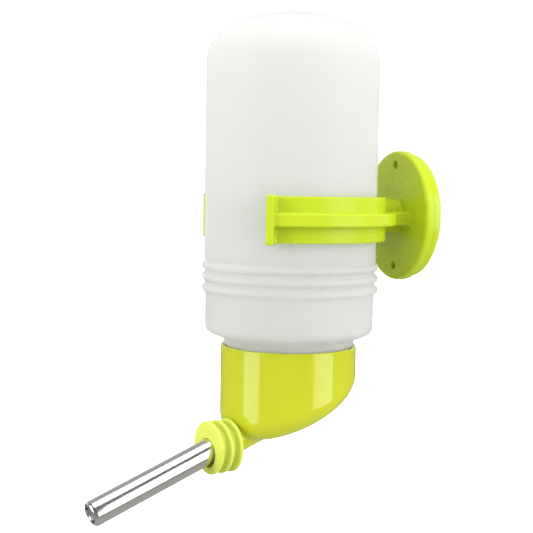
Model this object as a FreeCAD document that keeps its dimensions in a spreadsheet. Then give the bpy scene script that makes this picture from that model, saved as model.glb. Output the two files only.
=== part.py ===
"""Hanging drinking bottle for rabbits: bottle, elbow cap with ball-point tube, and clip bracket.

Row frame: the origin is the centre of the bracket disc's cage-side face. +Y points into the
cage wall, +Z is up, and the bottle hangs at -Y. The bottle and cap are drawn about their own
axis, with the cap's rim plane at height 0, and then placed.
"""
import FreeCAD, Part
import Sketcher
import math
import os
import re

SIZES = [
    # where the bottle hangs from the bracket
    ("standoff", 44.35, "bracket disc's cage-side face to the bottle's axis"),
    ("rim_drop", 45.5, "bracket disc's axis down to the cap's rim"),
    ("cap_turn", 13.2, "degrees that the cap is turned from straight ahead"),
    # bottle
    ("bottle_radius", 30.0, "bottle body"),
    ("collar_radius", 29.6, "straight collar below the ribs"),
    ("wall", 1.1, "bottle wall at the collar"),
    ("bottle_top", 115.2, "top of the dome above the cap's rim"),
    ("dome_height", 17.5, "dome"),
    ("dome_corner", 13.3, "radius of the dome's edge"),
    ("rib_first", 19.9, "height of the lowest rib"),
    ("rib_pitch", 3.95, "rib spacing"),
    ("rib_half", 1.35, "half the height of a rib"),
    ("rib_out", 1.2, "how far a rib stands out"),
    ("rib_root", 29.8, "bottle radius between the ribs"),
    ("shoulder_low", 2.2, "where the shoulder leaves the neck"),
    ("shoulder_slope", 22.0, "degrees that the shoulder falls"),
    ("shoulder_round", 3.0, "radius of the collar's lower corner"),
    ("neck_radius", 22.9, "neck above the cap's rim"),
    ("neck_taper_top", 0.4, "where the neck starts to narrow"),
    ("neck_taper_low", -1.8, "where the neck reaches the thread's root"),
    ("finish_radius", 20.6, "neck thread's root radius"),
    ("mouth_low", -9.2, "bottle's mouth"),
    ("mouth_radius", 18.8, "bottle's mouth opening"),
    # neck and cap thread
    ("neck_pitch", 4.0, "neck thread's pitch"),
    ("thread_start", -7.4, "height where the neck's thread starts"),
    ("thread_rise", 4.4, "rise of the neck's thread"),
    ("thread_base", 2.0, "thread ridge's width at its root"),
    ("thread_crest", 0.8, "thread ridge's width at its crest"),
    ("thread_depth", 1.0, "thread ridge's height"),
    ("cap_thread_rise", 2.8, "rise of the cap's thread"),
    # cap
    ("cap_radius", 23.9, "cap outside"),
    ("cap_inner", 22.1, "cap's thread wall"),
    ("cap_lead", 23.3, "cap's rim opening"),
    ("lead_depth", 1.6, "depth of the rim's lead-in"),
    ("seat_radius", 21.0, "gasket's seat"),
    ("ledge_low", -10.95, "ledge under the gasket"),
    ("chamber_radius", 19.0, "water chamber in the cap"),
    ("underside_mid", -24.0, "height of the slanted underside at the axis"),
    ("underside_slope", 26.0, "degrees that the underside falls to the tube"),
    ("underside_round", 6.5, "rounded edge of the underside"),
    ("floor_thickness", 3.0, "cap's floor"),
    ("socket_radius", 5.5, "tube socket"),
    ("socket_start", 9.0, "centre of the socket's round inner end, along the tube"),
    ("socket_face", 24.1, "cap's axis to the socket's upright end face"),
    # gasket
    ("gasket_inner", 18.4, "gasket's opening"),
    ("gasket_outer", 20.8, "gasket's outside"),
    ("seat_gap", 0.05, "gap on each face of the gasket"),
    # tube
    ("tube_mid", -23.47, "height where the tube's line crosses the cap's axis"),
    ("tube_tilt", 18.6, "degrees that the tube falls"),
    ("tube_radius", 4.25, "tube outside"),
    ("tube_wall", 0.5, "tube wall"),
    ("tube_start", 12.0, "tube's inner end, along its line from the cap's axis"),
    ("tube_end", 80.8, "tube's mouth, along the same line"),
    ("lip_round", 1.3, "rolled lip"),
    ("tube_mouth", 2.75, "radius of the tube's mouth"),
    ("ball_radius", 3.175, "steel ball, quarter inch across"),
    # grommet
    ("grommet_drop", 33.33, "cap's rim down to the grommet's axis"),
    ("grommet_front", 33.34, "cap's axis to the grommet's front face"),
    ("flange_radius", 9.1, "grommet's flanges"),
    ("flange_thick", 1.6, "one flange"),
    ("flange_pitch", 3.8, "flange spacing"),
    ("flange_round", 0.7, "flange's rounded edge"),
    ("grommet_core", 6.7, "grommet between its flanges"),
    ("grommet_entry", 5.0, "opening in the grommet's front face"),
    ("entry_depth", 1.6, "depth of that opening's flare"),
    # bracket
    ("clip_drop", 1.0, "clip's middle below the disc's axis"),
    ("clip_inner", 30.4, "clip band's inside"),
    ("clip_outer", 33.2, "clip band's outside"),
    ("clip_height", 15.2, "clip band"),
    ("clip_span", 124.5, "degrees from the bracket's line to each end of the clip"),
    ("clip_end", 123.3, "degrees from the bracket's line to each ear and each end of the rib"),
    ("clip_rib_outer", 36.8, "clip's middle rib"),
    ("clip_rib_height", 4.3, "clip's middle rib"),
    ("ear_outer", 38.2, "tips of the clip's two ears"),
    ("ear_thick", 2.4, "ear"),
    ("ear_height", 16.0, "ear"),
    ("web_half", 11.5, "half the width of the web behind the clip"),
    ("web_height", 4.5, "web"),
    ("boss_radius", 6.1, "boss between clip and disc"),
    ("disc_radius", 23.4, "bracket's disc"),
    ("disc_thick", 3.3, "bracket's disc"),
    ("disc_round", 1.2, "disc's rounded edge"),
    ("screw_hole", 1.5, "radius of the two screw holes"),
    ("screw_hole_out", 18.25, "disc's axis to each screw hole"),
    # clamp
    ("clamp_gap", 0.2, "gap between the closed discs"),
    ("clamp_radius", 22.3, "clamping disc"),
    ("clamp_thick", 3.2, "clamping disc"),
    ("clamp_hole", 3.56, "clamping disc's bore"),
    ("head_radius", 9.0, "thumb screw's head"),
    ("head_height", 5.5, "thumb screw's head"),
    ("head_round", 1.0, "head's rounded edge"),
    ("grip_radius", 1.6, "finger groove in the head"),
    ("shank_radius", 3.5, "thumb screw's plain shank"),
    ("stud_core", 2.9, "thumb screw's thread root"),
    ("stud_crest", 3.5, "thumb screw's thread crest"),
    ("stud_reach", 9.2, "thumb screw's tip inside the boss"),
    ("stud_pitch", 2.0, "thumb screw's pitch"),
    ("stud_base", 1.3, "stud ridge's width at its root"),
    ("stud_flat", 0.5, "stud ridge's width at its crest"),
    ("nut_core", 3.05, "boss thread's smallest radius"),
    ("nut_depth", 10.4, "depth of the boss's hole"),
    ("nut_start", -10.2, "where the boss's thread starts"),
    ("nut_play", 0.2, "room round the stud's ridge"),
]
GRIPS = 8
RIBS = 3
FLANGES = 3

doc = FreeCAD.newDocument("RabbitBottle")
sheet = doc.addObject("Spreadsheet::Sheet", "Sizes")
for row, (alias, size, note) in enumerate(SIZES, start=1):
    sheet.set(f"A{row}", alias)
    sheet.set(f"B{row}", str(size))
    sheet.setAlias(f"B{row}", alias)
    sheet.set(f"C{row}", note)
doc.recompute()
ALIASES = {alias for alias, size, note in SIZES}


def bound(text):
    """The expression with every alias written as a cell of the sheet."""
    return re.sub(r"[a-z_]{3,}", lambda m: "Sizes." + m[0] if m[0] in ALIASES else m[0], str(text))


def number(text):
    """What an expression of aliases is worth now."""
    return float(sheet.evalExpression(bound(text)))


def bind(thing, prop, text):
    thing.setExpression(prop, bound(text))


def new_body(name):
    body = doc.addObject("PartDesign::Body", name)
    body.Label = name
    return body


def new_sketch(body, name, plane, offset=None):
    """A sketch on one of the body's own origin planes, moved by offset = (x, y, z, degrees)."""
    sketch = body.newObject("Sketcher::SketchObject", name)
    origin_plane = next(f for f in body.Origin.OriginFeatures if f.Role == plane + "_Plane")
    sketch.AttachmentSupport = [(origin_plane, "")]
    sketch.MapMode = "FlatFace"
    if offset:
        for prop, text in zip(("Base.x", "Base.y", "Base.z", "Rotation.Angle"), offset):
            bind(sketch, "AttachmentOffset." + prop, text)
    return sketch


def pin(sketch, geometry, point, x, y):
    """Fix one point of the sketch at (x, y), each an expression."""
    for kind, axis, text in (("X", -2, x), ("Y", -1, y)):
        if str(text) == "0":
            sketch.addConstraint(Sketcher.Constraint("PointOnObject", geometry, point, axis))
            continue
        constraint = Sketcher.Constraint("Distance" + kind, -1, 1, geometry, point, number(text))
        index = sketch.addConstraint(constraint)
        bind(sketch, f"Constraints[{index}]", text)


def outline(sketch, steps):
    """A closed outline. A step (x, y) is a straight run that ends there; a step
    (x, y, radius, turn) is an arc that ends there, turn +1 anticlockwise and -1 clockwise."""
    ends = [(number(step[0]), number(step[1])) for step in steps]
    first_ids, last_ids = [], []
    for i, step in enumerate(steps):
        start = FreeCAD.Vector(*ends[i - 1], 0)
        end = FreeCAD.Vector(*ends[i], 0)
        if len(step) == 2:
            index = sketch.addGeometry(Part.LineSegment(start, end))
            ids = ((index, 1), (index, 2))
        else:
            radius, turn = number(step[2]), step[3]
            chord = end - start
            rise = math.sqrt(max(radius ** 2 - chord.Length ** 2 / 4, 0))
            left = FreeCAD.Vector(-chord.y, chord.x, 0).normalize()
            centre = (start + end) / 2 + left * rise * turn
            circle = Part.Circle(centre, FreeCAD.Vector(0, 0, 1), radius)
            low, high = (start, end) if turn > 0 else (end, start)
            angles = [math.atan2(p.y - centre.y, p.x - centre.x) for p in (low, high)]
            index = sketch.addGeometry(Part.ArcOfCircle(circle, *angles))
            ids = ((index, 1), (index, 2)) if turn > 0 else ((index, 2), (index, 1))
            bend = sketch.addConstraint(Sketcher.Constraint("Radius", index, radius))
            bind(sketch, f"Constraints[{bend}]", step[2])
        first_ids.append(ids[0])
        last_ids.append(ids[1])
    for i, step in enumerate(steps):
        follower = first_ids[(i + 1) % len(steps)]
        sketch.addConstraint(Sketcher.Constraint("Coincident", *last_ids[i], *follower))
        pin(sketch, *last_ids[i], step[0], step[1])
    return sketch


def circle_outline(sketch, radius, x="0", y="0"):
    centre = FreeCAD.Vector(number(x), number(y), 0)
    ring = Part.Circle(centre, FreeCAD.Vector(0, 0, 1), number(radius))
    index = sketch.addGeometry(ring)
    size = sketch.addConstraint(Sketcher.Constraint("Radius", index, number(radius)))
    bind(sketch, f"Constraints[{size}]", radius)
    pin(sketch, index, 3, x, y)
    return sketch


def revolve(body, name, sketch, axis="V_Axis"):
    feature = body.newObject("PartDesign::Revolution", name)
    feature.Profile = sketch
    feature.ReferenceAxis = (sketch, [axis])
    feature.Angle = 360
    return feature


def pad(body, name, sketch, length, symmetric=False, back=False):
    feature = body.newObject("PartDesign::Pad", name)
    feature.Profile = sketch
    feature.SideType = "Symmetric" if symmetric else "One side"
    feature.Reversed = back
    bind(feature, "Length", length)
    return feature


def cut_through(body, name, sketch, length):
    """A pocket to both sides of its sketch that must take something away."""
    doc.recompute()
    before = body.Shape.Volume
    feature = body.newObject("PartDesign::Pocket", name)
    feature.Profile = sketch
    feature.SideType = "Symmetric"
    bind(feature, "Length", length)
    doc.recompute()
    if body.Shape.Volume > before - 0.1:
        raise RuntimeError(name + " cuts nothing")
    return feature


def helix(body, name, kind, sketch, pitch, rise):
    feature = body.newObject("PartDesign::" + kind, name)
    feature.Profile = sketch
    feature.ReferenceAxis = (sketch, ["V_Axis"])
    feature.Mode = 0
    bind(feature, "Pitch", pitch)
    bind(feature, "Height", rise)
    feature.Angle = 0
    return feature


def ridge(sketch, root, crest, base, flat, middle):
    """A trapezium from radius root to radius crest, centred at height middle."""
    return outline(sketch, [
        (root, f"({middle}) - ({base}) / 2"), (crest, f"({middle}) - ({flat}) / 2"),
        (crest, f"({middle}) + ({flat}) / 2"), (root, f"({middle}) + ({base}) / 2")])


def fillet(body, name, radius, chosen):
    """Round the edges of the body's tip that chosen(edge) picks."""
    doc.recompute()
    base = body.Tip
    names = [f"Edge{i + 1}" for i, edge in enumerate(base.Shape.Edges) if chosen(edge)]
    feature = body.newObject("PartDesign::Fillet", name)
    feature.Base = (base, names)
    bind(feature, "Radius", radius)
    return feature


def place(piece, x="0", y="0", z="0", turn="0"):
    """Put a finished sub-part in the row frame, turned about +Z."""
    upright = FreeCAD.Rotation(FreeCAD.Vector(0, 0, 1), number(turn))
    piece.Placement = FreeCAD.Placement(FreeCAD.Vector(number(x), number(y), number(z)), upright)
    bind(piece, "Placement.Base.x", x)
    bind(piece, "Placement.Base.y", y)
    bind(piece, "Placement.Base.z", z)
    return piece


def on_bottle_axis(piece, turn="0"):
    return place(piece, y="-standoff", z="-rim_drop", turn=turn)


# ---------------------------------------------------------------- bottle
def dome(radius, height, corner, base, down):
    """The two arcs from the straight side to the dome's top, or back down again."""
    crown = f"(({radius} - {corner}) ^ 2 + ({height}) ^ 2 - ({corner}) ^ 2) / (2 * ({height} - {corner}))"
    reach = f"sqrt(({radius} - {corner}) ^ 2 + (({crown}) - ({height})) ^ 2)"
    meet_x = f"{radius} - {corner} + {corner} * ({radius} - {corner}) / ({reach})"
    meet_y = f"{base} + {corner} * (({crown}) - ({height})) / ({reach})"
    if down:
        return [(meet_x, meet_y, crown, -1), (f"{radius}", base, corner, -1)]
    return [(meet_x, meet_y, corner, 1), ("0", f"{base} + {height}", crown, 1)]


def make_bottle():
    body = new_body("bottle")
    base = "bottle_top - dome_height"
    corner_z = ("shoulder_low + (collar_radius - shoulder_round * (1 - sin(shoulder_slope)) - neck_radius)"
                " * tan(shoulder_slope) + shoulder_round * cos(shoulder_slope)")
    outside = [
        ("mouth_radius", "mouth_low"), ("finish_radius", "mouth_low"),
        ("finish_radius", "neck_taper_low"), ("neck_radius", "neck_taper_top"),
        ("neck_radius", "shoulder_low"),
        ("collar_radius - shoulder_round * (1 - sin(shoulder_slope))",
         f"{corner_z} - shoulder_round * cos(shoulder_slope)"),
        ("collar_radius", corner_z, "shoulder_round", 1),
        ("collar_radius", "rib_first - rib_half - 1")]
    for k in range(RIBS):
        middle = f"rib_first + {k} * rib_pitch"
        rib_radius = "(rib_out ^ 2 + rib_half ^ 2) / (2 * rib_out)"
        outside += [("rib_root", f"{middle} - rib_half"),
                    ("rib_root", f"{middle} + rib_half", rib_radius, 1)]
    outside += [("bottle_radius", f"rib_first + {RIBS - 1} * rib_pitch + rib_half + 1"),
                ("bottle_radius", base)]
    outside += dome("bottle_radius", "dome_height", "dome_corner", base, down=False)
    hollow = "(collar_radius - wall)"
    inside_wall = f"(bottle_radius - {hollow})"
    inside = [("0", f"bottle_top - {inside_wall}")]
    inside += dome(hollow, f"(dome_height - {inside_wall})", f"(dome_corner - {inside_wall})", base,
                   down=True)
    inside += [
        (hollow, f"{corner_z} + wall"),
        (f"{hollow} - shoulder_round / 2", f"{corner_z} - shoulder_round / 2 + wall / 2"),
        ("neck_radius - 1.5 * wall", "shoulder_low + 1.5 * wall"),
        ("neck_radius - 1.5 * wall", "neck_taper_top"),
        ("mouth_radius", "neck_taper_low - wall / 2")]
    revolve(body, "bottle_wall", outline(new_sketch(body, "bottle_profile", "XZ"), outside + inside))
    thread = ridge(new_sketch(body, "neck_ridge", "YZ"), "finish_radius - 0.2",
                   "finish_radius + thread_depth", "thread_base", "thread_crest", "thread_start")
    helix(body, "neck_thread", "AdditiveHelix", thread, "neck_pitch", "thread_rise")
    return on_bottle_axis(body)


def join(kind, name, base, tool):
    """A boolean of two solids."""
    piece = doc.addObject(kind, name)
    piece.Base = base
    piece.Tool = tool
    piece.Label = name
    return piece


# ---------------------------------------------------------------- cap
def below_slope(body, name, middle):
    """Cut away all that lies below the plane that falls towards the tube at -Y."""
    far, deep = "2 * cap_radius", "-4 * cap_radius"
    drop = f"{far} * tan(underside_slope)"
    sketch = outline(new_sketch(body, name + "_line", "YZ"), [
        (f"-{far}", f"{middle} - {drop}"), (f"-{far}", deep), (far, deep), (far, f"{middle} + {drop}")])
    return cut_through(body, name, sketch, "4 * cap_radius")


def tube_sketch(body, name):
    """A sketch in the plane of the tube, with its X axis along the tube."""
    return new_sketch(body, name, "YZ", ("0", "tube_mid", "0", "180 + tube_tilt"))


def slanted_edge(edge):
    """The closed edge round the slanted underside."""
    box = edge.BoundBox
    return box.ZLength > 5 and box.XLength > 5


def make_cap():
    shell = new_body("cap_shell")
    pad(shell, "cap_block", circle_outline(new_sketch(shell, "cap_circle", "XY"), "cap_radius"),
        "2 * cap_radius", back=True)
    below_slope(shell, "underside", "underside_mid")
    fillet(shell, "underside_edge", "underside_round", slanted_edge)

    stub = new_body("socket_stub")
    socket = outline(tube_sketch(stub, "socket_profile"), [
        ("1.2 * socket_face", "0"), ("1.2 * socket_face", "socket_radius"),
        ("socket_start", "socket_radius"),
        ("socket_start - socket_radius", "0", "socket_radius", 1)])
    revolve(stub, "socket", socket, axis="H_Axis")
    face = outline(new_sketch(stub, "socket_face_line", "YZ"), [
        ("-socket_face", "0"), ("-2 * socket_face", "0"),
        ("-2 * socket_face", "-3 * socket_face"), ("-socket_face", "-3 * socket_face")])
    cut_through(stub, "socket_end", face, "2 * cap_radius")
    walled = join("Part::Fuse", "cap_walled", shell, stub)

    hollow = new_body("cap_hollow")
    pad(hollow, "chamber", circle_outline(new_sketch(hollow, "chamber_circle", "XY"), "chamber_radius"),
        "2 * cap_radius", back=True)
    below_slope(hollow, "floor", "underside_mid + floor_thickness / cos(underside_slope)")
    mouth = outline(new_sketch(hollow, "mouth_profile", "XZ"), [
        ("0", "ledge_low"), ("seat_radius", "ledge_low"), ("seat_radius", "mouth_low - 2 * seat_gap"),
        ("cap_inner", "mouth_low - 2 * seat_gap"), ("cap_inner", "-lead_depth"),
        ("cap_lead", "0"), ("cap_lead", "lead_depth"), ("0", "lead_depth")])
    revolve(hollow, "mouth", mouth)

    ridge_body = new_body("cap_ridge")
    thread = ridge(new_sketch(ridge_body, "cap_ridge_section", "YZ"), "cap_inner + 0.3",
                   "cap_inner - thread_depth", "thread_base", "thread_crest",
                   "thread_start + neck_pitch / 2")
    helix(ridge_body, "cap_thread", "AdditiveHelix", thread, "neck_pitch", "cap_thread_rise")

    bore = new_body("socket_bore")
    section = outline(tube_sketch(bore, "socket_bore_profile"), [
        ("socket_start", "0"), ("2 * socket_face", "0"), ("2 * socket_face", "tube_radius"),
        ("socket_start", "tube_radius")])
    revolve(bore, "socket_bore_turned", section, axis="H_Axis")
    hollowed = join("Part::Cut", "cap_hollowed", walled, hollow)
    bored = join("Part::Cut", "cap_bored", hollowed, bore)
    return on_bottle_axis(join("Part::Fuse", "cap", bored, ridge_body), turn="cap_turn")


def make_gasket():
    body = new_body("cap_gasket")
    top, low = "mouth_low - seat_gap", "ledge_low + seat_gap"
    profile = outline(new_sketch(body, "gasket_profile", "XZ"), [
        ("gasket_inner", low), ("gasket_outer", low), ("gasket_outer", top), ("gasket_inner", top)])
    revolve(body, "gasket_ring", profile)
    return on_bottle_axis(body)


# ---------------------------------------------------------------- tube, balls and grommet
def make_tube():
    body = new_body("drinking_tube")
    bore, lip = "(tube_radius - tube_wall)", "(tube_end - lip_round)"
    profile = outline(tube_sketch(body, "tube_profile"), [
        ("tube_start", bore), (f"{lip} - tube_wall", bore), (lip, "tube_mouth"),
        ("tube_end", "tube_mouth"), ("tube_end", "tube_radius - lip_round"),
        (lip, "tube_radius", "lip_round", 1), ("tube_start", "tube_radius")])
    revolve(body, "tube_wall_turned", profile, axis="H_Axis")
    return on_bottle_axis(body, turn="cap_turn")


def make_ball(name, back):
    """A steel ball whose centre is back from the tube's mouth."""
    body = new_body(name)
    middle = f"tube_end - ({back})"
    profile = outline(tube_sketch(body, name + "_profile"), [
        (f"{middle} + ball_radius", "0"), (middle, "ball_radius", "ball_radius", 1),
        (f"{middle} - ball_radius", "0", "ball_radius", 1)])
    revolve(body, name + "_round", profile, axis="H_Axis")
    return on_bottle_axis(body, turn="cap_turn")


def make_grommet():
    """Three upright flanges on a short core against the cap's side, bored along the tube."""
    rings = new_body("grommet_rings")
    back = f"(grommet_front - flange_thick - {FLANGES - 1} * flange_pitch)"
    steps = [(back, "0")]
    for k in range(FLANGES):
        low = f"({back} + {k} * flange_pitch)"
        high = f"({low} + flange_thick)"
        steps += [(low, "flange_radius - flange_round"),
                  (f"{low} + flange_round", "flange_radius", "flange_round", -1),
                  (f"{high} - flange_round", "flange_radius"),
                  (high, "flange_radius - flange_round", "flange_round", -1)]
        if k < FLANGES - 1:
            steps += [(high, "grommet_core"), (f"{low} + flange_pitch", "grommet_core")]
    steps += [("grommet_front", "0")]
    section = new_sketch(rings, "ring_profile", "YZ", ("0", "-grommet_drop", "0", "180"))
    revolve(rings, "rings", outline(section, steps), axis="H_Axis")

    bore = new_body("grommet_bore")
    far = "2 * grommet_front"
    mouth = "(grommet_front / cos(tube_tilt) - entry_depth)"
    section = outline(tube_sketch(bore, "grommet_bore_profile"), [
        ("grommet_front / 2", "0"), (far, "0"), (far, "grommet_entry"),
        (f"{mouth} + entry_depth", "grommet_entry"), (mouth, "tube_radius"),
        ("grommet_front / 2", "tube_radius")])
    revolve(bore, "grommet_bore_turned", section, axis="H_Axis")
    return on_bottle_axis(join("Part::Cut", "grommet", rings, bore), turn="cap_turn")


# ---------------------------------------------------------------- bracket
def sector(sketch, inner, outer, span):
    """A C-shaped band about the bottle's axis, open towards -Y."""
    ends = {}
    for name, radius in (("in", inner), ("out", outer)):
        ends[name] = (f"{radius} * sin({span})", f"-standoff + {radius} * cos({span})")
    return outline(sketch, [
        ends["out"],
        ("0", f"-standoff + {outer}", outer, 1),
        ("-(" + ends["out"][0] + ")", ends["out"][1], outer, 1),
        ("-(" + ends["in"][0] + ")", ends["in"][1]),
        ("0", f"-standoff + {inner}", inner, -1),
        (ends["in"][0], ends["in"][1], inner, -1)])


def ear(sketch, side):
    """The plate at one end of the clip, standing out along the bottle's radius."""
    steps = []
    for radius, offset in (("clip_inner", -1), ("ear_outer", -1), ("ear_outer", 1), ("clip_inner", 1)):
        along = f"{radius} * sin(clip_end) + {offset} * ear_thick / 2 * cos(clip_end)"
        out = f"-standoff + {radius} * cos(clip_end) - {offset} * ear_thick / 2 * sin(clip_end)"
        steps.append((f"{side} * ({along})", out))
    return outline(sketch, steps if side > 0 else steps[::-1])


def make_bracket():
    body = new_body("bracket")
    drop = ("0", "0", "-clip_drop", "0")
    pad(body, "disc", circle_outline(new_sketch(body, "disc_circle", "XZ"), "disc_radius"), "disc_thick")
    pad(body, "boss", circle_outline(new_sketch(body, "boss_circle", "XZ"), "boss_radius"),
        "standoff - clip_inner + 1")
    pad(body, "band", sector(new_sketch(body, "band_outline", "XY", drop), "clip_inner", "clip_outer",
                             "clip_span"), "clip_height", symmetric=True)
    pad(body, "rib", sector(new_sketch(body, "rib_outline", "XY", drop), "(clip_outer - 0.5)",
                            "clip_rib_outer", "clip_end"), "clip_rib_height", symmetric=True)
    for side, name in ((1, "ear_right"), (-1, "ear_left")):
        pad(body, name, ear(new_sketch(body, name + "_outline", "XY", drop), side), "ear_height",
            symmetric=True)
    web = outline(new_sketch(body, "web_outline", "XY", drop), [
        ("web_half", "-disc_thick / 2"), ("-web_half", "-disc_thick / 2"),
        ("-web_half", "clip_inner - standoff"), ("web_half", "clip_inner - standoff")])
    pad(body, "web", web, "web_height", symmetric=True)
    room = circle_outline(new_sketch(body, "bottle_room", "XY"), "clip_inner", "0", "-standoff")
    cut_through(body, "bottle_way", room, "4 * clip_height")
    holes = new_sketch(body, "screw_hole_circles", "XZ")
    circle_outline(holes, "screw_hole", "0", "screw_hole_out")
    circle_outline(holes, "screw_hole", "0", "-screw_hole_out")
    cut_through(body, "screw_holes", holes, "4 * disc_thick")
    bore = circle_outline(new_sketch(body, "nut_circle", "XZ"), "nut_core")
    cut_through(body, "nut_hole", bore, "2 * nut_depth")
    groove = outline(new_sketch(body, "nut_ridge", "XY"), [
        ("nut_core - 0.3", "nut_start - stud_base / 2 - nut_play"),
        ("stud_crest + nut_play", "nut_start - stud_flat / 2 - nut_play / 2"),
        ("stud_crest + nut_play", "nut_start + stud_flat / 2 + nut_play / 2"),
        ("nut_core - 0.3", "nut_start + stud_base / 2 + nut_play")])
    helix(body, "nut_thread", "SubtractiveHelix", groove, "stud_pitch", "nut_depth + stud_pitch")
    front = -number("disc_thick")
    rim = number("disc_radius")
    fillet(body, "disc_edge", "disc_round",
           lambda edge: edge.BoundBox.XLength > 1.9 * rim and abs(edge.BoundBox.YMax - front) < 0.01)
    return place(body)


# ---------------------------------------------------------------- clamp
def make_clamp_disc():
    """Drawn along +Y, from the closed gap outwards."""
    body = new_body("clamp_disc")
    back = "clamp_gap + clamp_thick"
    profile = outline(new_sketch(body, "clamp_profile", "XY"), [
        ("clamp_hole", "clamp_gap"), ("clamp_radius - 0.3", "clamp_gap"),
        ("clamp_radius", "clamp_gap + 0.3"), ("clamp_radius", f"{back} - disc_round"),
        ("clamp_radius - disc_round", back, "disc_round", 1), ("clamp_hole", back)])
    revolve(body, "clamp_plate", profile)
    return place(body)


def make_thumb_screw():
    body = new_body("thumb_screw")
    seat = "clamp_gap + clamp_thick + seat_gap"
    top = f"({seat} + head_height)"
    profile = outline(new_sketch(body, "screw_profile", "XY"), [
        ("0", "-stud_reach"), ("stud_core - 0.5", "-stud_reach"), ("stud_core", "0.5 - stud_reach"),
        ("stud_core", "0"), ("shank_radius", "clamp_gap"), ("shank_radius", seat), ("head_radius", seat),
        ("head_radius", f"{top} - head_round"),
        ("head_radius - head_round", top, "head_round", 1), ("0", top)])
    revolve(body, "screw_blank", profile)
    grips = new_sketch(body, "grip_circle", "XZ")
    circle_outline(grips, "grip_radius", "head_radius + 0.4 * grip_radius", "0")
    doc.recompute()
    before = body.Shape.Volume
    pocket = body.newObject("PartDesign::Pocket", "grip")
    pocket.Profile = grips
    bind(pocket, "Length", f"{top} + 1")
    ring = body.newObject("PartDesign::PolarPattern", "grips")
    ring.Originals = [pocket]
    ring.Axis = (grips, ["N_Axis"])
    ring.Angle = 360
    ring.Occurrences = GRIPS
    body.Tip = ring
    doc.recompute()
    if body.Shape.Volume > before - 1:
        raise RuntimeError("the grips cut nothing")
    thread = outline(new_sketch(body, "stud_ridge", "XY"), [
        ("stud_core - 0.2", "nut_start + stud_pitch - stud_base / 2"),
        ("stud_crest", "nut_start + stud_pitch - stud_flat / 2"),
        ("stud_crest", "nut_start + stud_pitch + stud_flat / 2"),
        ("stud_core - 0.2", "nut_start + stud_pitch + stud_base / 2")])
    helix(body, "stud_thread", "AdditiveHelix", thread, "stud_pitch", "3 * stud_pitch")
    return place(body)


rest_back = "ball_radius + 0.1"
pieces = [
    make_bottle(), make_cap(), make_gasket(), make_tube(), make_ball("tip_ball", rest_back),
    make_ball("valve_ball", f"{rest_back} + 2 * ball_radius + seat_gap"), make_grommet(),
    make_bracket(), make_clamp_disc(), make_thumb_screw(),
]
doc.recompute()

failed = [thing.Name for thing in doc.Objects if {"Invalid", "Error"} & set(thing.State)]
for piece in pieces:
    if piece.Shape.isNull() or not piece.Shape.isValid():
        failed.append(piece.Label + " shape")
if failed:
    raise RuntimeError("failed: " + ", ".join(failed))
os.makedirs("parts", exist_ok=True)
for piece in pieces:
    piece.Shape.exportStep(f"parts/{piece.Label}.step")
    print(piece.Label, len(piece.Shape.Solids), round(piece.Shape.Volume, 1))
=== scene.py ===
"""The looks of a hanging rabbit water bottle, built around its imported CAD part.

Row frame, in metres: the origin is the middle of the bracket disc's cage-side face, +Y goes
into the cage wall and +Z is up. Shapes are worked out in millimetres. The bottle and cap are
drawn about their own axis, with the cap's rim plane at height 0.
"""

import math

import bpy
import numpy as np
import openvdb
from mathutils import Matrix, Vector


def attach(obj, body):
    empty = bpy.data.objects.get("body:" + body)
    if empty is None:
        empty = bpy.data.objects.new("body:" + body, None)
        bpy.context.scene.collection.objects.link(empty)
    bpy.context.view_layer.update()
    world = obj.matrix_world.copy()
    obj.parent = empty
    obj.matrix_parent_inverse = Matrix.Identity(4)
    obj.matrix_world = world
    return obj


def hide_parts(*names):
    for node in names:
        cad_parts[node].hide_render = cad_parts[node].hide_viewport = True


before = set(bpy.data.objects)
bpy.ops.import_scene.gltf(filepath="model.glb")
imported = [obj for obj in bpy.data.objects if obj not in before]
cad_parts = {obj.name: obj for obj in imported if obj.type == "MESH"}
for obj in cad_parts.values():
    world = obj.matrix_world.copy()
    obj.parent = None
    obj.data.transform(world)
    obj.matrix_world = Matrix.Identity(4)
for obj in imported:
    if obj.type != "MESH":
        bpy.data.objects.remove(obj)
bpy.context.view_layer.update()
MM = 0.001
TAU = 2 * math.pi

# ---------------------------------------------------------------- sizes, in millimetres
# places of the bottle's axis and rim from the row's origin, and of the tube in the cap
STANDOFF, RIM_DROP = 44.35, 45.5
CAP_TURN, TUBE_TILT, TUBE_MID = math.radians(13.2), math.radians(18.6), -23.47
# bottle
BODY_R, WALL = 30.0, 1.5
BOTTLE_TOP, DOME_HIGH, DOME_CORNER = 115.2, 17.5, 13.3
BELT_R, BELT_LOW, BELT_TOP = 29.8, 18.4, 29.6
RIB_LOW, RIB_PITCH, RIB_ROUND, RIB_SUNK = 19.9, 3.95, 1.36, 0.16
SHOULDER_R, SHOULDER_LOW, SHOULDER_TOP = 29.6, 4.907, 17.55
COLLAR_R, COLLAR_LOW, COLLAR_TOP = 22.9, 0.4, 2.2
NECK_R, NECK_IN, NECK_TOP, MOUTH_LOW = 20.6, 18.8, -1.8, -9.2
MOULD_LINE, MOULD_LINE_TOP = 0.13, 99
# thread between neck and cap
THREAD_START, THREAD_PITCH, THREAD_DEPTH = -7.4, 4.0, 1.0
THREAD_BASE, THREAD_CREST, NECK_RISE, CAP_RISE = 2.0, 0.8, 4.4, 2.8
# cap and gasket
CAP_R, CAP_INNER, CAP_LEAD, LEAD_DEEP, CHAMBER_R = 23.9, 22.1, 23.3, 1.6, 19.0
SEAT_R, LEDGE_LOW, SEAT_GAP = 21.0, -10.95, 0.05
UNDERSIDE_MID, UNDERSIDE_SLOPE, UNDERSIDE_ROUND = -24.0, math.radians(26.0), 6.5
FLOOR_THICK, SOCKET_R, SOCKET_START, SOCKET_FACE = 3.0, 5.5, 9.0, 24.1
GASKET_IN, GASKET_OUT = 18.4, 20.8
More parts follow.
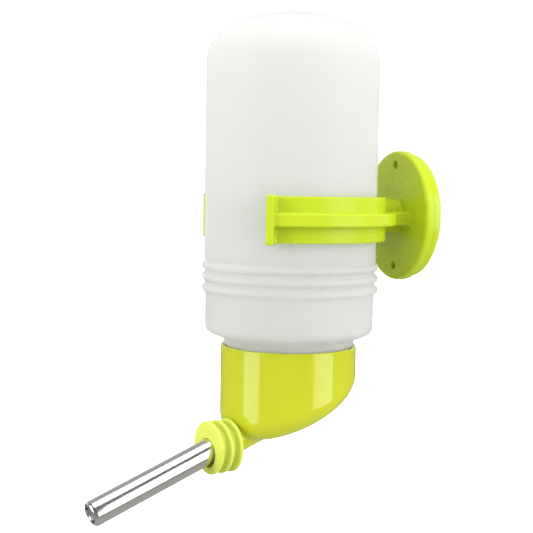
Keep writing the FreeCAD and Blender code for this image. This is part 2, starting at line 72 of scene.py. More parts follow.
# tube and balls
TUBE_R, TUBE_IN, TUBE_START, TUBE_END = 4.25, 3.75, 12.0, 80.8
TUBE_MOUTH, LIP_ROUND, BALL_R = 2.75, 1.3, 3.175
# grommet
GROMMET_DROP, GROMMET_FRONT, GROMMET_CORE = 33.33, 33.34, 6.7
FLANGE_R, FLANGE_THICK, FLANGE_PITCH, FLANGE_HOLLOW = 9.1, 1.6, 3.8, 0.12
ENTRY_DEEP, ENTRY_FLARE, NUB_R = 1.6, 0.47, 0.45
# bracket
CLIP_DROP, CLIP_IN, CLIP_OUT, CLIP_HIGH = 1.0, 30.4, 33.2, 15.2
CLIP_SPAN, CLIP_END = math.radians(124.5), math.radians(123.3)
RIB_OUT, RIB_HIGH, EAR_OUT, EAR_THICK, EAR_HIGH = 36.8, 4.3, 38.2, 2.4, 16.0
WEB_HALF, WEB_HIGH, WEB_STEP, BOSS_R = 11.5, 4.5, 0.14, 6.1
DISC_R, DISC_THICK, DISC_LINE = 23.4, 3.3, 0.16
HOLE_R, HOLE_OUT = 1.5, 18.25
# clamp
CLAMP_GAP, CLAMP_R, CLAMP_THICK, CLAMP_HOLE = 0.2, 22.3, 3.2, 3.56
HEAD_R, HEAD_HIGH, GRIP_COUNT, GRIP_R, GRIP_OUT = 9.0, 5.5, 8, 1.6, 0.64
DISH_R, DISH_DEEP = 20.6, 0.6
SHANK_R, STUD_CORE, STUD_REACH, STUD_PITCH, STUD_DEPTH = 3.5, 2.9, 9.2, 2.0, 0.6
NUT_R, NUT_DEEP = 3.05, 10.4

to_row = Matrix.Scale(MM, 4)
to_bottle = to_row @ Matrix.Translation((0, -STANDOFF, -RIM_DROP))
to_cap = to_bottle @ Matrix.Rotation(CAP_TURN, 4, "Z")
# the tube's own frame, whose Z runs down the tube from the cap's axis
down = Vector((0, -math.cos(TUBE_TILT), -math.sin(TUBE_TILT)))
side = Vector((1, 0, 0))
tube_axes = Matrix((side, down.cross(side), down)).transposed().to_4x4()
to_tube = to_cap @ Matrix.Translation((0, 0, TUBE_MID)) @ tube_axes
# the clamp's frame, whose Z runs along the row's +Y, into the cage wall
to_clamp = to_row @ Matrix.Rotation(-math.pi / 2, 4, "X")


# ---------------------------------------------------------------- mesh building
def new_piece(name, points, faces, place):
    """A smooth mesh from points in millimetres, set in the row frame by its place matrix."""
    mesh = bpy.data.meshes.new(name)
    mesh.from_pydata([tuple(p) for p in points], [], [tuple(f) for f in faces])
    mesh.transform(place)
    mesh.update()
    mesh.polygons.foreach_set("use_smooth", [True] * len(mesh.polygons))
    piece = bpy.data.objects.new(name, mesh)
    bpy.context.scene.collection.objects.link(piece)
    return piece


def join(a, b, r=0.0):
    """Union of two distance fields, with an inside corner of radius r."""
    if not r:
        return np.minimum(a, b)
    return np.maximum(np.minimum(a, b), r) - np.hypot(np.maximum(r - a, 0), np.maximum(r - b, 0))


def meet(a, b, r=0.0, lean=0.0):
    """Overlap of two distance fields, with an outside edge of radius r. lean is the cosine of
    the angle between their outward normals."""
    if not r:
        return np.maximum(a, b)
    u, v = a + r, b + r
    beyond = (u > lean * v) & (v > lean * u)
    corner = np.sqrt(np.maximum(u * u + v * v - 2 * u * v * lean, 0) / (1 - lean * lean))
    return np.where(beyond, corner, np.maximum(u, v)) - r


def cut(a, b, r=0.0):
    """What is left of the first field outside the second, with an outside edge of radius r."""
    return meet(a, -b, r)


def slab(v, low, high):
    """Distance field of what lies between two planes."""
    return np.maximum(low - v, v - high)


def from_field(name, field, low, high, step, place):
    """A mesh of the surface where field(x, y, z) is zero, with its points moved onto it."""
    axes = [np.arange(a, b + step, step) for a, b in zip(low, high)]
    values = field(*np.meshgrid(*axes, indexing="ij", sparse=True))
    grid = openvdb.FloatGrid(background=10.0)
    grid.copyFromArray(np.ascontiguousarray(values, dtype=np.float32))
    points, quads = grid.convertToQuads(isovalue=0.0)
    points = points.astype(float) * step + np.array(low)
    tiny, shallowest = 0.02, 0.25
    for _ in range(3):
        here = field(*points.T)
        slope = np.empty_like(points)
        for k in range(3):
            nudge = np.zeros(3)
            nudge[k] = tiny
            slope[:, k] = (field(*(points + nudge).T) - field(*(points - nudge).T)) / (2 * tiny)
        move = here / np.maximum((slope ** 2).sum(1), shallowest)
        points -= slope * np.clip(move, -step / 3, step / 3)[:, None]
    return new_piece(name, points, quads, place)


def rounded(corners, steps=5):
    """A closed profile whose corners (x, y, radius) are rounded with short curves."""
    out = []
    for i, (x, y, radius) in enumerate(corners):
        here = np.array((x, y), float)
        if not radius:
            out.append(here)
            continue
        before = np.array(corners[i - 1][:2], float) - here
        after = np.array(corners[(i + 1) % len(corners)][:2], float) - here
        before_len, after_len = np.linalg.norm(before), np.linalg.norm(after)
        before, after = before / before_len, after / after_len
        half = math.acos(float(np.clip(before @ after, -1, 1))) / 2
        reach = min(radius / math.tan(half), 0.49 * before_len, 0.49 * after_len)
        start, end = here + before * reach, here + after * reach
        for t in np.linspace(0, 1, steps + 1):
            out.append((1 - t) ** 2 * start + 2 * t * (1 - t) * here + t ** 2 * end)
    return np.array(out)


def split_runs(profile, longest):
    """The same closed profile with no run longer than this."""
    out = []
    for a, b in zip(profile, np.roll(profile, -1, axis=0)):
        count = max(1, math.ceil(np.linalg.norm(b - a) / longest))
        out += [a + (b - a) * k / count for k in range(count)]
    return np.array(out)


def turned(name, profile, place, angles=None, shift=None):
    """A closed profile of (radius, height) turned about Z, anticlockwise from -radius inside.
    shift(radius, height, angle) gives each point's new radius."""
    angles = np.linspace(0, TAU, 128, endpoint=False) if angles is None else angles
    count, turns = len(profile), len(angles)
    radius, height, angle = profile[:, :1], profile[:, 1:], angles[None, :]
    radius = radius + 0 * angle if shift is None else shift(radius, height, angle)
    points = np.stack([radius * np.cos(angle), radius * np.sin(angle), height + 0 * angle], -1)
    on_axis = profile[:, 0] < 1e-6
    number, kept = np.zeros((count, turns), int), []
    for i in range(count):
        ring = points[i, :1] if on_axis[i] else points[i]
        number[i] = len(kept) + (0 if on_axis[i] else np.arange(turns))
        kept += list(ring)
    faces = []
    for i in range(count):
        j = (i + 1) % count
        if on_axis[i] and on_axis[j]:
            continue
        for k in range(turns):
            m = (k + 1) % turns
            loop = (number[i, k], number[i, m], number[j, m], number[j, k])
            faces.append(tuple(dict.fromkeys(int(p) for p in loop)))
    return new_piece(name, kept, faces, place)


def ridge_height(distance, base, crest):
    """From 1 on a thread ridge's crest to 0 at its foot."""
    return np.clip((base / 2 - distance) / ((base - crest) / 2), 0, 1)


def thread(angle, height, start, pitch, rise, base, crest):
    """Height, from 0 to 1, of a right-handed thread that starts at angle 0 and rises by rise."""
    turns = np.mod(angle, TAU) / TAU
    out = 0 * (turns + height)
    for k in range(math.ceil(rise / pitch)):
        along = (turns + k) * pitch
        fade = np.clip(np.minimum(along, rise - along) / 0.25 + 0.2, 0, 1)  # run-out at both ends
        inside = (along >= 0) & (along <= rise)
        out = np.maximum(out, ridge_height(abs(height - start - along), base, crest) * fade * inside)
    return out


# ---------------------------------------------------------------- bottle
def dome(radius, height, corner, base, steps=14):
    """Points from the straight side up to the pole."""
    crown = ((radius - corner) ** 2 + height ** 2 - corner ** 2) / (2 * (height - corner))
    low = base + height - crown
    bend = math.atan2(base - low, radius - corner)
    out = [(radius - corner + corner * math.cos(a), base + corner * math.sin(a))
           for a in np.linspace(0, bend, steps)]
    out += [(crown * math.cos(a), low + crown * math.sin(a))
            for a in np.linspace(bend, math.pi / 2, steps)[1:]]
    return np.array(out)


def ribs():
    """Three round ribs that blend into the belt."""
    out = []
    for k in range(3):
        middle = RIB_LOW + RIB_PITCH * k
        for t in np.linspace(-1.35, 1.35, 13):
            swell = math.sqrt(RIB_ROUND ** 2 - t * t) - RIB_SUNK
            blend = min(1, (1.45 - abs(t)) / 0.3)
            out.append((BELT_R + swell * blend, middle + t))
    return out


def bottle_profile():
    """The outside from the mouth up to the dome's dimple, then the inside back down."""
    base, inside, upright = BOTTLE_TOP - DOME_HIGH, BODY_R - WALL, (55, 70, 85)
    neck = [(NECK_R, z) for z in np.arange(MOUTH_LOW + 0.6, NECK_TOP - 0.4, 0.3)]
    mouth = rounded([(NECK_IN, MOUTH_LOW, 0.35), (NECK_R, MOUTH_LOW, 0.45), (NECK_R, NECK_TOP, 0)])[:-1]
    shoulder = rounded([
        (NECK_R, NECK_TOP - 0.4, 0), (NECK_R, NECK_TOP, 0.5), (COLLAR_R, COLLAR_LOW, 0.6),
        (COLLAR_R, COLLAR_TOP, 0.7), (SHOULDER_R, SHOULDER_LOW, 3.0), (SHOULDER_R, SHOULDER_TOP, 0.4),
        (BELT_R, BELT_LOW, 0)], 8)[1:]
    belt_edge = [(BELT_R + 0.02, BELT_TOP), (BODY_R - 0.05, BELT_TOP + 0.4), (BODY_R, BELT_TOP + 0.9)]
    body = [(BODY_R, z) for z in (40, *upright, base - 3)]
    outer_dome = [p for p in dome(BODY_R, DOME_HIGH, DOME_CORNER, base, 18) if p[0] > 2.9]
    dimple = [(radius, BOTTLE_TOP - depth) for radius, depth in (
        (2.6, 0.08), (2.3, 0.28), (1.5, 0.3), (1.2, 0.12), (0.6, 0.05), (0, 0.05))]
    inner_dome = dome(inside, DOME_HIGH - WALL, DOME_CORNER - WALL, base)[::-1]
    inner = rounded([
        (inside, 40, 0), (inside, 8.03, 1.5), (27.0, 5.98, 1.5), (21.25, 3.85, 1.0),
        (21.25, COLLAR_LOW, 0.8), (NECK_IN, -2.35, 0.8), (NECK_IN, MOUTH_LOW + 0.7, 0)])
    return np.vstack([mouth, neck, shoulder, ribs(), belt_edge, body, outer_dome, dimple, inner_dome,
                      [(inside, z) for z in reversed(upright)], inner])


def bottle_shape(radius, height, angle):
    """The neck's thread, and the faint upright line where the mould's halves met."""
    ridges = thread(angle - math.pi / 2, height, THREAD_START, THREAD_PITCH, NECK_RISE,
                    THREAD_BASE, THREAD_CREST)
    on_neck = (radius > NECK_R - 0.3) & (height < NECK_TOP - 0.1)
    near_line = np.clip(1 - radius * abs(np.cos(angle)) / 0.5, 0, 1)
    on_body = (radius > BELT_R - 0.5) * np.clip((MOULD_LINE_TOP - height) / 8, 0, 1)
    return radius + THREAD_DEPTH * ridges * on_neck + MOULD_LINE * near_line * on_body


line_angles = [s * math.pi / 2 + math.radians(d) for s in (-1, 1) for d in (-0.95, -0.5, 0.5, 0.95)]
bottle_angles = np.array(sorted(list(np.linspace(-math.pi, math.pi, 240, endpoint=False)) + line_angles))
bottle = turned("bottle_shell", bottle_profile(), to_bottle, bottle_angles, bottle_shape)


# ---------------------------------------------------------------- cap, gasket and grommet
def along_tube(y, z):
    """How far down the tube's line a point of the cap's frame is, and its offset from the line."""
    z = z - TUBE_MID
    return (-y * math.cos(TUBE_TILT) - z * math.sin(TUBE_TILT),
            y * math.sin(TUBE_TILT) - z * math.cos(TUBE_TILT))


def cap_field(x, y, z):
    """A cup with a slanted, rounded underside and a socket for the tube, hollowed from above."""
    radial = np.hypot(x, y)
    rise, fall = math.tan(UNDERSIDE_SLOPE), math.cos(UNDERSIDE_SLOPE)
    lean = math.sin(UNDERSIDE_SLOPE) * y / np.maximum(radial, 1e-6)
    under = (UNDERSIDE_MID + y * rise - z) * fall
    shell = meet(meet(radial - CAP_R, under, UNDERSIDE_ROUND, lean), z, 0.4)
    down_line, off_line = along_tube(y, z)
    from_line = np.hypot(x, off_line)
    socket = np.sqrt(from_line ** 2 + np.minimum(down_line - SOCKET_START, 0) ** 2) - SOCKET_R
    shell = join(shell, meet(socket, -SOCKET_FACE - y, 0.35), 0.7)
    floor_face = (UNDERSIDE_MID + FLOOR_THICK / fall + y * rise - z) * fall
    chamber = meet(radial - CHAMBER_R, floor_face, 1.5)
    lead = CAP_INNER + (CAP_LEAD - CAP_INNER) * np.clip((z + LEAD_DEEP) / LEAD_DEEP, 0, 1)
    ridge = thread(np.arctan2(-x, y), z, THREAD_START + THREAD_PITCH / 2, THREAD_PITCH, CAP_RISE,
                   THREAD_BASE, THREAD_CREST)
    mouth = meet(radial - lead + THREAD_DEPTH * ridge, MOUTH_LOW - 2 * SEAT_GAP - z)
    seat = meet(radial - SEAT_R, LEDGE_LOW - z)
    shell = cut(shell, join(join(chamber, seat), mouth), 0.3)
    return cut(shell, meet(from_line - TUBE_R, SOCKET_START - down_line))


def grommet_field(x, y, z):
    """Three flanges on a core, with a mould nub on one edge, bored along the tube's line."""
    out, level = -y, z + GROMMET_DROP
    radial = np.hypot(x, level)
    back = GROMMET_FRONT - FLANGE_THICK - 2 * FLANGE_PITCH
    rings = meet(radial - GROMMET_CORE, slab(out, back, GROMMET_FRONT - 0.3))
    hollow = FLANGE_HOLLOW * np.clip((radial - GROMMET_CORE) / (FLANGE_R - GROMMET_CORE), 0, 1)
    for k in range(3):
        middle = back + FLANGE_THICK / 2 + k * FLANGE_PITCH
        flange = meet(radial - FLANGE_R, abs(out - middle) - FLANGE_THICK / 2 + hollow, 0.66)
        rings = join(rings, flange, 0.45)
    nub = np.sqrt((x - FLANGE_R + 0.15) ** 2 + (out - middle - 0.1) ** 2 + (level - 1.2) ** 2)
    rings = join(rings, nub - NUB_R, 0.2)
    down_line, off_line = along_tube(y, z)
    face = GROMMET_FRONT / math.cos(TUBE_TILT)
    flare = ENTRY_FLARE * np.clip(down_line - face + ENTRY_DEEP, 0, ENTRY_DEEP)
    return cut(rings, np.hypot(x, off_line) - TUBE_R - 0.02 - flare, 0.2)


cap = from_field("elbow_cap", cap_field, (-24.6, -25.4, -39), (24.6, 24.6, 0.8), 0.42, to_cap)
grommet = from_field("rubber_grommet", grommet_field, (-9.8, -34, -43.2), (9.8, -23.4, -23.4), 0.21, to_cap)
gasket_low, gasket_top = LEDGE_LOW + SEAT_GAP, MOUTH_LOW - SEAT_GAP
gasket = turned("cap_seal", rounded([
    (GASKET_IN, gasket_low, 0.3), (GASKET_OUT, gasket_low, 0.3), (GASKET_OUT, gasket_top, 0.3),
    (GASKET_IN, gasket_top, 0.3)], 3), to_bottle)


# ---------------------------------------------------------------- tube and balls
def tube_profile():
    """The outside down to the rolled lip at the mouth, then the bore back up."""
    end, arc = TUBE_END - 0.02, np.linspace(0, math.pi / 2, 12)
    lip = [(TUBE_R + LIP_ROUND * (math.cos(a) - 1), end + LIP_ROUND * (math.sin(a) - 1)) for a in arc]
    bore = rounded([
        (TUBE_R - LIP_ROUND, end, 0), (TUBE_MOUTH, end, 0.2), (TUBE_MOUTH, TUBE_END - LIP_ROUND, 0.4),
        (TUBE_IN, TUBE_END - 1.8, 0.4), (TUBE_IN, TUBE_START + 0.1, 0), (TUBE_IN + 0.1, TUBE_START, 0)], 4)
    return np.vstack([[(TUBE_R - 0.1, TUBE_START), (TUBE_R, TUBE_START + 0.1)], lip, bore[1:]])


def ball(name, middle):
    """A ball on the tube's line, its middle this far down the line."""
    arc = np.linspace(-math.pi / 2, math.pi / 2, 40)
    half = np.stack([np.cos(arc) * BALL_R, middle + np.sin(arc) * BALL_R], -1)
    half[0, 0] = half[-1, 0] = 0
    return turned(name, half, to_tube, np.linspace(0, TAU, 80, endpoint=False))


tube = turned("steel_tube", split_runs(tube_profile(), 4.0), to_tube)
ball_seat = TUBE_END - BALL_R - 0.1
tip_ball = ball("tip_steel_ball", ball_seat)
valve_ball = ball("inner_steel_ball", ball_seat - 2 * BALL_R - SEAT_GAP)


# ---------------------------------------------------------------- bracket
def bracket_field(x, y, z):
    """Clip band, rib and ears, joined by a web and a boss to the round disc."""
    out, level = y + STANDOFF, z + CLIP_DROP
    radial, wide, plate = np.hypot(x, out), abs(x), np.hypot(x, z)
    beyond_span = wide * math.cos(CLIP_SPAN) - out * math.sin(CLIP_SPAN)
    beyond_end = wide * math.cos(CLIP_END) - out * math.sin(CLIP_END)
    along_ear = wide * math.sin(CLIP_END) + out * math.cos(CLIP_END)
    mid, half = (CLIP_IN + CLIP_OUT) / 2, (CLIP_OUT - CLIP_IN) / 2
    band = meet(meet(abs(radial - mid) - half, abs(level) - CLIP_HIGH / 2, 0.4), beyond_span, 0.3)
    rib = meet(meet(slab(radial, CLIP_OUT - 0.6, RIB_OUT), abs(level) - RIB_HIGH / 2, 0.5), beyond_end)
    ear = meet(abs(beyond_end) - EAR_THICK / 2, abs(level) - EAR_HIGH / 2, 0.45)
    ear = meet(ear, slab(along_ear, CLIP_IN, EAR_OUT), 0.45)
    clip = join(join(band, rib, 0.45), ear, 0.45)
    to_disc = slab(y, CLIP_IN - STANDOFF, -DISC_THICK / 2)
    boss = meet(plate - BOSS_R, to_disc)
    step = WEB_STEP * (np.clip(level / 0.3, -1, 1) - 1) / 2
    web = meet(meet(wide - WEB_HALF - step, abs(level) - WEB_HIGH / 2, 0.45), to_disc)
    line = DISC_LINE * np.clip(1 - abs(level) / 0.45, 0, 1) * (plate < DISC_R - 0.8)
    disc = meet(meet(plate - DISC_R, -DISC_THICK - y - line, 1.15), y, 0.25)
    shape = join(join(join(web, boss, 0.5), disc, 0.7), clip, 0.5)
    shape = meet(shape, CLIP_IN - radial)
    shape = cut(shape, np.hypot(x, abs(z) - HOLE_OUT) - HOLE_R, 0.3)
    turns = y / STUD_PITCH + np.arctan2(x, z) / TAU
    groove = STUD_DEPTH * (1 - 2 * abs(np.mod(turns, 1) - 0.5))
    return cut(shape, meet(plate - NUT_R - groove, -NUT_DEEP - y), 0.15)


bracket = from_field("clip_bracket", bracket_field, (-39.2, -70.2, -25.0), (39.2, 0.8, 25.0), 0.37, to_row)

# ---------------------------------------------------------------- clamp
clamp_back = CLAMP_GAP + CLAMP_THICK
clamp_profile = rounded([
    (CLAMP_HOLE, CLAMP_GAP, 0.3), (CLAMP_R, CLAMP_GAP, 0.45), (CLAMP_R, clamp_back, 1.2),
    (CLAMP_HOLE, clamp_back, 0.3)])
clamp_disc = turned("wall_disc", split_runs(clamp_profile, 3.0), to_clamp,
                    np.linspace(0, TAU, 180, endpoint=False))


def knob_field(x, y, z):
    """The thumb screw about its own axis, with z running into the cage wall."""
    radial, angle = np.hypot(x, y), np.arctan2(y, x)
    seat = clamp_back + SEAT_GAP
    head = meet(radial - HEAD_R, slab(z, seat, seat + HEAD_HIGH), 0.9)
    turn = TAU / GRIP_COUNT
    near = np.mod(angle + turn / 2, turn) - turn / 2
    grip = np.hypot(radial * np.cos(near) - HEAD_R - GRIP_OUT, radial * np.sin(near)) - GRIP_R
    head = cut(head, grip, 0.4)
    dish = np.sqrt(radial ** 2 + (z - seat - HEAD_HIGH - DISH_R + DISH_DEEP) ** 2) - DISH_R
    head = cut(head, dish, 0.3)
    shank = meet(radial - SHANK_R, slab(z, 0, seat + 1))
    ridge = 1 - 2 * abs(np.mod(z / STUD_PITCH - angle / TAU, 1) - 0.5)
    fade = np.clip((z + STUD_REACH) / 1.5, 0, 1)
    stud = radial - STUD_CORE - STUD_DEPTH * np.clip(1.6 * ridge - 0.3, 0, 1) * fade
    stud = meet(stud, slab(z, -STUD_REACH, 0.5), 0.4)
    return join(join(head, shank, 0.3), stud)


knob = from_field("thumb_knob", knob_field, (-9.8, -9.8, -9.8), (9.8, 9.8, 9.6), 0.26, to_clamp)


# ---------------------------------------------------------------- materials
def material(name, colours, rough, grain, depth, cloud=90.0, stretch=None, **sockets):
    """A Principled material in the object's own coordinates, in metres: two near colours in a
    slow cloud, roughness that wanders between the two values of rough, and a fine bump of
    depth metres whose grain is this many per metre. stretch is a frame and three scales."""
    mat = bpy.data.materials.new(name)
    mat.use_nodes = True
    nodes, links = mat.node_tree.nodes, mat.node_tree.links
    shader = nodes["Principled BSDF"]
    here = nodes.new("ShaderNodeTexCoord")
    mapping = nodes.new("ShaderNodeMapping")
    mapping.vector_type = "TEXTURE"
    if stretch:
        mapping.inputs["Rotation"].default_value = stretch[0].to_euler("XYZ")
        mapping.inputs["Scale"].default_value = stretch[1:]
    links.new(here.outputs["Object"], mapping.inputs["Vector"])

    def noise(scale, detail):
        node = nodes.new("ShaderNodeTexNoise")
        node.inputs["Scale"].default_value = scale
        node.inputs["Detail"].default_value = detail
        links.new(mapping.outputs["Vector"], node.inputs["Vector"])
        return node.outputs["Fac"]

    mix = nodes.new("ShaderNodeMix")
    mix.data_type = "RGBA"
    share, first, second, mixed = mix.inputs[0], mix.inputs[6], mix.inputs[7], mix.outputs[2]
    first.default_value = (*colours[0], 1)
    second.default_value = (*colours[1], 1)
    links.new(noise(cloud, 3), share)
    links.new(mixed, shader.inputs["Base Color"])
    spread = nodes.new("ShaderNodeMapRange")
    spread.inputs["From Min"].default_value = 0.3
    spread.inputs["From Max"].default_value = 0.7
    spread.inputs["To Min"].default_value, spread.inputs["To Max"].default_value = rough
    links.new(noise(cloud * 6, 4), spread.inputs["Value"])
    links.new(spread.outputs["Result"], shader.inputs["Roughness"])
    bump = nodes.new("ShaderNodeBump")
    bump.inputs["Strength"].default_value = 1.0
    bump.inputs["Distance"].default_value = depth
    links.new(noise(grain, 2), bump.inputs["Height"])
    links.new(bump.outputs["Normal"], shader.inputs["Normal"])
    for socket, value in sockets.items():
        shader.inputs[socket.replace("_", " ")].default_value = value
    return mat


def milky_plastic():
    """Translucent polyethylene: rough and see-through, with some light let through diffusely."""
    mat = material("milky_plastic", ((0.88, 0.885, 0.875), (0.92, 0.925, 0.915)), (0.36, 0.46), 900, 2e-5,
                   cloud=45.0, Transmission_Weight=0.62, IOR=1.32)
    nodes, links = mat.node_tree.nodes, mat.node_tree.links
    glow = nodes.new("ShaderNodeBsdfTranslucent")
    glow.inputs["Color"].default_value = (0.90, 0.905, 0.89, 1)
    mix = nodes.new("ShaderNodeMixShader")
    mix.inputs["Fac"].default_value = 0.35
    links.new(nodes["Principled BSDF"].outputs["BSDF"], mix.inputs[1])
    links.new(glow.outputs["BSDF"], mix.inputs[2])
    links.new(mix.outputs["Shader"], nodes["Material Output"].inputs["Surface"])
    return mat


def ball_steel(name):
    return material(name, ((0.66, 0.66, 0.66), (0.74, 0.74, 0.74)), (0.05, 0.1), 4000, 1e-6, Metallic=1.0)


cap_lime = ((0.44, 0.47, 0.016), (0.47, 0.50, 0.02))
clip_lime = ((0.42, 0.525, 0.014), (0.45, 0.555, 0.018))
tube_steel = material("polished_tube", ((0.66, 0.65, 0.62), (0.74, 0.73, 0.70)), (0.16, 0.24), 2200, 3e-6,
                      stretch=(to_tube.to_3x3().normalized(), 1.0, 1.0, 40.0), Metallic=1.0)
# each piece, with the body it rides on, the node it replaces, its slot and its material
pieces = [
    (bottle, "bottle", "bottle", "bottle_plastic", milky_plastic()),
    (cap, "cap", "cap", "lime_gloss",
     material("gloss_lime", cap_lime, (0.09, 0.15), 1400, 4e-6, Subsurface_Weight=0.15,
              Subsurface_Radius=(0.003, 0.003, 0.0008), Subsurface_Scale=1.0)),
    (bracket, "bracket", "bracket", "lime_clip",
     material("clip_lime", clip_lime, (0.22, 0.30), 1400, 1.5e-6, Specular_IOR_Level=0.2)),
    (clamp_disc, "clamp_disc", "clamp_disc", "lime_clip",
     material("disc_lime", clip_lime, (0.20, 0.30), 1400, 1.5e-6, Specular_IOR_Level=0.4)),
    (knob, "thumb_screw", "thumb_screw", "lime_clip",
     material("knob_lime", clip_lime, (0.22, 0.34), 1400, 2.5e-6)),
    (grommet, "cap", "grommet", "lime_rubber",
     material("rubber_lime", ((0.56, 0.62, 0.075), (0.60, 0.66, 0.085)), (0.42, 0.55), 3500, 1.2e-5)),
    (gasket, "gasket", "cap_gasket", "gasket_rubber",
     material("seal_rubber", ((0.70, 0.71, 0.68), (0.78, 0.79, 0.76)), (0.5, 0.65), 3000, 1e-5)),
    (tube, "cap", "drinking_tube", "steel", tube_steel),
    (tip_ball, "tip_ball", "tip_ball", "ball_steel", ball_steel("ball_steel_tip")),
    (valve_ball, "valve_ball", "valve_ball", "ball_steel", ball_steel("ball_steel_inner")),
]
for piece, body, node, slot, mat in pieces:
    piece.data.materials.append(mat)
    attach(piece, body)
    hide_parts(node)

# ---------------------------------------------------------------- camera, light and floor
# in metres: what the lights face and how far off they are, then the camera's place and direction
LIGHT_REACH = 0.9
TARGET = Vector((0, -0.04435, -0.02))
EYE = Vector((0.3361, -0.1886, 0.0080))
AHEAD = Vector((-0.9251, 0.3728, -0.0719)).normalized()
CAMERA_ROLL, LENS = 0.0161, 70.3
FLOOR_LEVEL, FLOOR_HALF = -0.32, 6.0
WHITE = (1, 1, 1, 1)


def add_camera():
    right = AHEAD.cross(Vector((0, 0, 1))).normalized()
    up = right.cross(AHEAD)
    cos, sin = math.cos(CAMERA_ROLL), math.sin(CAMERA_ROLL)
    right, up = right * cos + up * sin, up * cos - right * sin
    camera = bpy.data.objects.new("camera", bpy.data.cameras.new("camera"))
    camera.data.lens, camera.data.sensor_width = LENS, 36.0
    camera.matrix_world = Matrix((right, up, -AHEAD)).transposed().to_4x4()
    camera.matrix_world.translation = EYE
    bpy.context.scene.collection.objects.link(camera)
    bpy.context.scene.camera = camera


def softbox(name, turn, lift, width, height, power):
    """A soft light at turn degrees to the right of the camera and lift degrees up."""
    flat = Vector((EYE.x - TARGET.x, EYE.y - TARGET.y, 0)).normalized()
    way = Matrix.Rotation(math.radians(turn), 3, "Z") @ flat
    way = way * math.cos(math.radians(lift)) + Vector((0, 0, math.sin(math.radians(lift))))
    way.normalize()
    light = bpy.data.lights.new(name, "AREA")
    light.shape = "RECTANGLE"
    light.size, light.size_y, light.energy = width, height, power
    lamp = bpy.data.objects.new(name, light)
    lamp.location = TARGET + way * LIGHT_REACH
    lamp.rotation_euler = way.to_track_quat("Z", "Y").to_euler()
    bpy.context.scene.collection.objects.link(lamp)


def ramp(tree, source, start, end, low, high):
    """A value that goes smoothly from low to high as source goes from start to end."""
    node = tree.nodes.new("ShaderNodeMapRange")
    node.interpolation_type = "SMOOTHSTEP"
    for socket, value in (("From Min", start), ("From Max", end), ("To Min", low), ("To Max", high)):
        node.inputs[socket].default_value = value
    tree.links.new(source, node.inputs["Value"])
    return node.outputs["Result"]


def product(tree, first, second):
    """One value times another."""
    node = tree.nodes.new("ShaderNodeMath")
    node.operation = "MULTIPLY"
    tree.links.new(first, node.inputs[0])
    tree.links.new(second, node.inputs[1])
    return node.outputs["Value"]


def choose(tree, factor, first, second):
    """The second shader where factor is 1, and otherwise the first."""
    node = tree.nodes.new("ShaderNodeMixShader")
    tree.links.new(factor, node.inputs["Fac"])
    tree.links.new(first, node.inputs[1])
    tree.links.new(second, node.inputs[2])
    return node.outputs["Shader"]


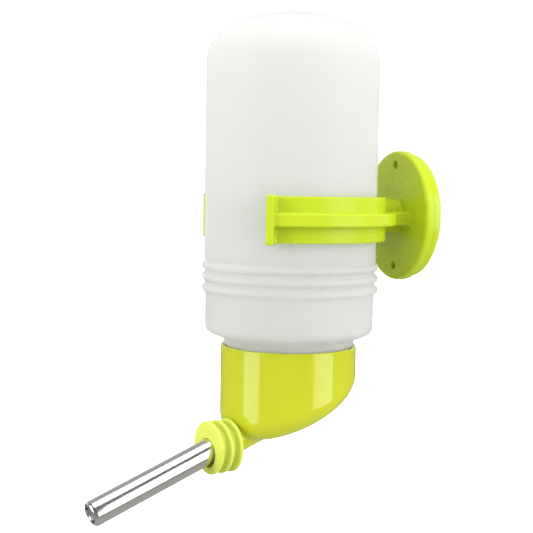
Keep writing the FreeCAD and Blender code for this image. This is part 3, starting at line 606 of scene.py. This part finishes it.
def studio_world():
    """White to the eye, even soft light on the object, and for reflections a surround that is
    bright behind the object and darker overhead and on the camera's side."""
    world = bpy.data.worlds.new("studio")
    world.use_nodes = True
    bpy.context.scene.world = world
    tree = world.node_tree
    soft = tree.nodes["Background"]
    seen = tree.nodes.new("ShaderNodeBackground")
    mirrored = tree.nodes.new("ShaderNodeBackground")
    for background in (soft, seen, mirrored):
        background.inputs["Color"].default_value = WHITE
    soft.inputs["Strength"].default_value = 1.4
    seen.inputs["Strength"].default_value = 1.05
    direction = tree.nodes.new("ShaderNodeTexCoord").outputs["Generated"]
    dot = tree.nodes.new("ShaderNodeVectorMath")
    dot.operation = "DOT_PRODUCT"
    dot.inputs[1].default_value = AHEAD
    tree.links.new(direction, dot.inputs[0])
    split = tree.nodes.new("ShaderNodeSeparateXYZ")
    tree.links.new(direction, split.inputs["Vector"])
    behind = ramp(tree, dot.outputs["Value"], -0.2, 0.5, 0.24, 1.0)
    above = ramp(tree, split.outputs["Z"], 0.18, 0.42, 1.0, 0.45)
    tree.links.new(product(tree, behind, above), mirrored.inputs["Strength"])
    ray = tree.nodes.new("ShaderNodeLightPath").outputs
    unseen = choose(tree, ray["Is Glossy Ray"], soft.outputs["Background"], mirrored.outputs["Background"])
    shown = choose(tree, ray["Is Camera Ray"], unseen, seen.outputs["Background"])
    tree.links.new(shown, tree.nodes["World Output"].inputs["Surface"])


def paper_floor():
    """Paper fully lit to the eye, which gives back less light the further it is from the object,
    and less again where it is reflected."""
    mesh = bpy.data.meshes.new("floor")
    mesh.from_pydata([(x * FLOOR_HALF, y * FLOOR_HALF, FLOOR_LEVEL)
                      for x, y in ((-1, -1), (1, -1), (1, 1), (-1, 1))], [], [(0, 1, 2, 3)])
    floor = bpy.data.objects.new("floor", mesh)
    bpy.context.scene.collection.objects.link(floor)
    pale = material("pale_floor", ((0.90, 0.90, 0.90), (0.93, 0.93, 0.93)), (0.7, 0.9), 30, 1e-4, cloud=3.0,
                    Emission_Color=WHITE, Emission_Strength=0.8)
    tree = pale.node_tree
    reach = tree.nodes.new("ShaderNodeVectorMath")
    reach.operation = "LENGTH"
    tree.links.new(tree.nodes.new("ShaderNodeNewGeometry").outputs["Position"], reach.inputs[0])
    ray = tree.nodes.new("ShaderNodeLightPath").outputs
    dim = tree.nodes.new("ShaderNodeEmission")
    near = ramp(tree, reach.outputs["Value"], 0.38, 0.66, 1.1, 0.56)
    mirrored = ramp(tree, ray["Is Glossy Ray"], 0, 1, 1.0, 0.42)
    tree.links.new(product(tree, near, mirrored), dim.inputs["Strength"])
    shown = choose(tree, ray["Is Camera Ray"], dim.outputs["Emission"],
                   tree.nodes["Principled BSDF"].outputs["BSDF"])
    tree.links.new(shown, tree.nodes["Material Output"].inputs["Surface"])
    mesh.materials.append(pale)
    return floor


add_camera()
softbox("left_box", -63, 7, 0.5, 0.85, 4.4)
softbox("right_box", 62, 5, 0.6, 0.98, 5.8)
softbox("top_box", 10, 84, 0.65, 0.65, 4)
studio_world()
paper_floor()

bpy.context.scene.view_settings.view_transform = "Standard"
